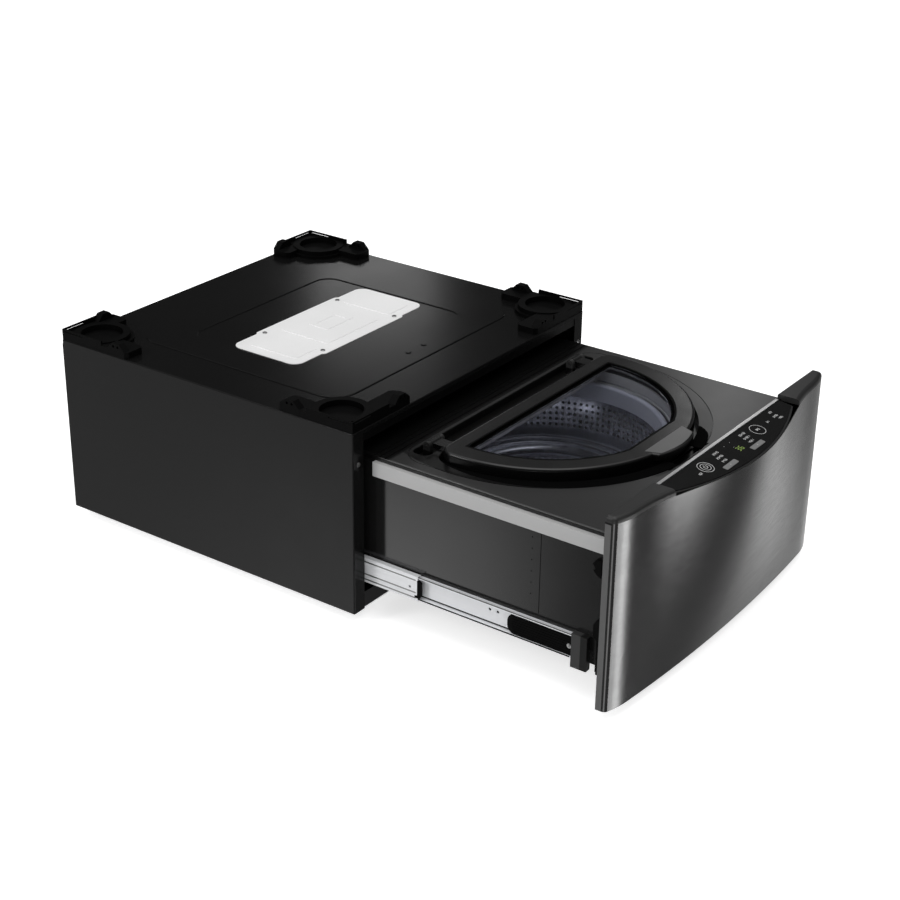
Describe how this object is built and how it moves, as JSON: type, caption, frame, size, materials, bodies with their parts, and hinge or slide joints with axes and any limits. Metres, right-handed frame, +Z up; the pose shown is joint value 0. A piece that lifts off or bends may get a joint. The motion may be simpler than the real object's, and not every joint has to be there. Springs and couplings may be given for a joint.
{
  "type": "pedestal washer",
  "caption": "Low steel cabinet with corner foot pockets on top and a washing drawer that slides out on telescopic rails, with a hinged windowed lid over its drum.",
  "frame": {"origin": "on the floor, under the middle of the whole with the drawer open", "axes": "+Z up, +Y to the rear, +X to the right of someone who faces the front"},
  "size_m": [0.686, 1.224, 0.372],
  "materials": {
    "graphite_paint": "satin",
    "front_paint": "gloss",
    "black_steel": "satin",
    "black_plastic": "satin",
    "dark_plastic": "satin",
    "cover_plastic": "satin",
    "white_steel": "satin",
    "zinc_steel": "satin",
    "screw_steel": "satin",
    "band_steel": "satin",
    "panel_gloss": "polished",
    "trim_silver": "polished",
    "board_green": "satin",
    "tub_plastic": "matte",
    "rubber": "matte",
    "drum_steel": "satin",
    "ring_plastic": "satin",
    "pulsator_plastic": "satin",
    "hub_aluminium": "satin",
    "window_glass": "polished",
    "pad_plastic": "satin",
    "cast_weight": "matte",
    "motor_steel": "satin",
    "spring_steel": "satin",
    "brass_fitting": "satin",
    "hose_rubber": "matte"
  },
  "bodies": {
    "cabinet": {"side_panel_left": "graphite_paint", "side_panel_right": "graphite_paint", "rear_panel": "graphite_paint", "base_plate": "zinc_steel", "top_plate": "graphite_paint", "front_rails": "black_steel", "corner_bracket_front_left": "black_plastic", "corner_bracket_front_right": "black_plastic", "corner_bracket_rear_left": "black_plastic", "corner_bracket_rear_right": "black_plastic", "service_plate": "white_steel", "cabinet_screws": "screw_steel", "counterweight": "cast_weight", "slide_brackets": "zinc_steel", "slide_outer_members": "zinc_steel", "inlet_valve": "brass_fitting", "drain_outlet": "dark_plastic", "power_inlet": "black_plastic"},
    "foot_front_left_body": {"foot_front_left": "rubber"},
    "foot_front_right_body": {"foot_front_right": "rubber"},
    "foot_rear_left_body": {"foot_rear_left": "rubber"},
    "foot_rear_right_body": {"foot_rear_right": "rubber"},
    "slide_middles": {"slide_middle_members": "zinc_steel"},
    "drawer": {"drawer_side_left": "black_steel", "drawer_side_right": "black_steel", "drawer_floor": "black_steel", "drawer_rear": "black_steel", "slide_inner_members": "zinc_steel", "slide_covers": "black_plastic", "slide_end_brackets": "dark_plastic", "tub_cover": "cover_plastic", "shoulder_bands": "band_steel", "front_frame": "band_steel", "front_shell": "front_paint", "end_blocks": "dark_plastic", "control_housing": "black_plastic", "control_panel": "panel_gloss", "trim_strip": "trim_silver", "control_board": "board_green", "outer_tub": "tub_plastic", "tub_gasket": "rubber", "suspension_rods": "spring_steel", "suspension_springs": "dark_plastic", "motor_stator": "motor_steel", "drain_pump": "dark_plastic", "drain_hose": "hose_rubber"},
    "lid": {"lid_frame": "cover_plastic", "lid_window": "window_glass", "lid_handle_pad": "pad_plastic", "lid_hinge_pins": "spring_steel"},
    "power_key": {"power_button": "panel_gloss"},
    "start_key": {"start_button": "panel_gloss"},
    "left_key": {"option_key_left": "dark_plastic"},
    "right_key": {"option_key_right": "dark_plastic"},
    "basket": {"wash_basket": "drum_steel", "balance_ring": "ring_plastic", "basket_hub": "hub_aluminium"},
    "pulsator_drive": {"pulsator": "pulsator_plastic", "pulsator_shaft": "spring_steel", "motor_rotor": "motor_steel"}
  },
  "joints": [
    {"name": "drawer_slide", "type": "slide", "parent": "cabinet", "child": "drawer", "axis": [0, -1, 0], "range_m": [-0.46, 0]},
    {"name": "slide_middles_slide", "type": "slide", "parent": "cabinet", "child": "slide_middles", "axis": [0, -1, 0], "range_m": [-0.23, 0]},
    {"name": "lid_hinge", "type": "hinge", "parent": "drawer", "child": "lid", "pos_m": [0, -0.1355, 0.307], "axis": [-1, 0, 0], "range_deg": [0, 95]},
    {"name": "basket_spin", "type": "hinge", "parent": "drawer", "child": "basket", "pos_m": [0, -0.217, 0.151], "axis": [0, 0, 1], "continuous": true},
    {"name": "pulsator_spin", "type": "hinge", "parent": "drawer", "child": "pulsator_drive", "pos_m": [0, -0.217, 0.121], "axis": [0, 0, 1], "continuous": true},
    {"name": "power_key_press", "type": "slide", "parent": "drawer", "child": "power_key", "axis": [0, 0.1454, -0.9894], "range_m": [0, 0.0008], "stiffness_N_per_m": 1500, "springref_m": -0.0005},
    {"name": "start_key_press", "type": "slide", "parent": "drawer", "child": "start_key", "axis": [0, 0.1454, -0.9894], "range_m": [0, 0.0008], "stiffness_N_per_m": 1500, "springref_m": -0.0005},
    {"name": "left_key_press", "type": "slide", "parent": "drawer", "child": "left_key", "axis": [0, 0.1454, -0.9894], "range_m": [0, 0.0008], "stiffness_N_per_m": 1500, "springref_m": -0.0005},
    {"name": "right_key_press", "type": "slide", "parent": "drawer", "child": "right_key", "axis": [0, 0.1454, -0.9894], "range_m": [0, 0.0008], "stiffness_N_per_m": 1500, "springref_m": -0.0005},
    {"name": "foot_front_left_turn", "type": "hinge", "parent": "cabinet", "child": "foot_front_left_body", "pos_m": [-0.298, -0.024, 0.02], "axis": [0, 0, 1], "continuous": true},
    {"name": "foot_front_right_turn", "type": "hinge", "parent": "cabinet", "child": "foot_front_right_body", "pos_m": [0.298, -0.024, 0.02], "axis": [0, 0, 1], "continuous": true},
    {"name": "foot_rear_left_turn", "type": "hinge", "parent": "cabinet", "child": "foot_rear_left_body", "pos_m": [-0.298, 0.543, 0.02], "axis": [0, 0, 1], "continuous": true},
    {"name": "foot_rear_right_turn", "type": "hinge", "parent": "cabinet", "child": "foot_rear_right_body", "pos_m": [0.298, 0.543, 0.02], "axis": [0, 0, 1], "continuous": true}
  ],
  "couplings": [
    {"joint": "slide_middles_slide", "follows": "drawer_slide", "ratio": 0.5}
  ]
}
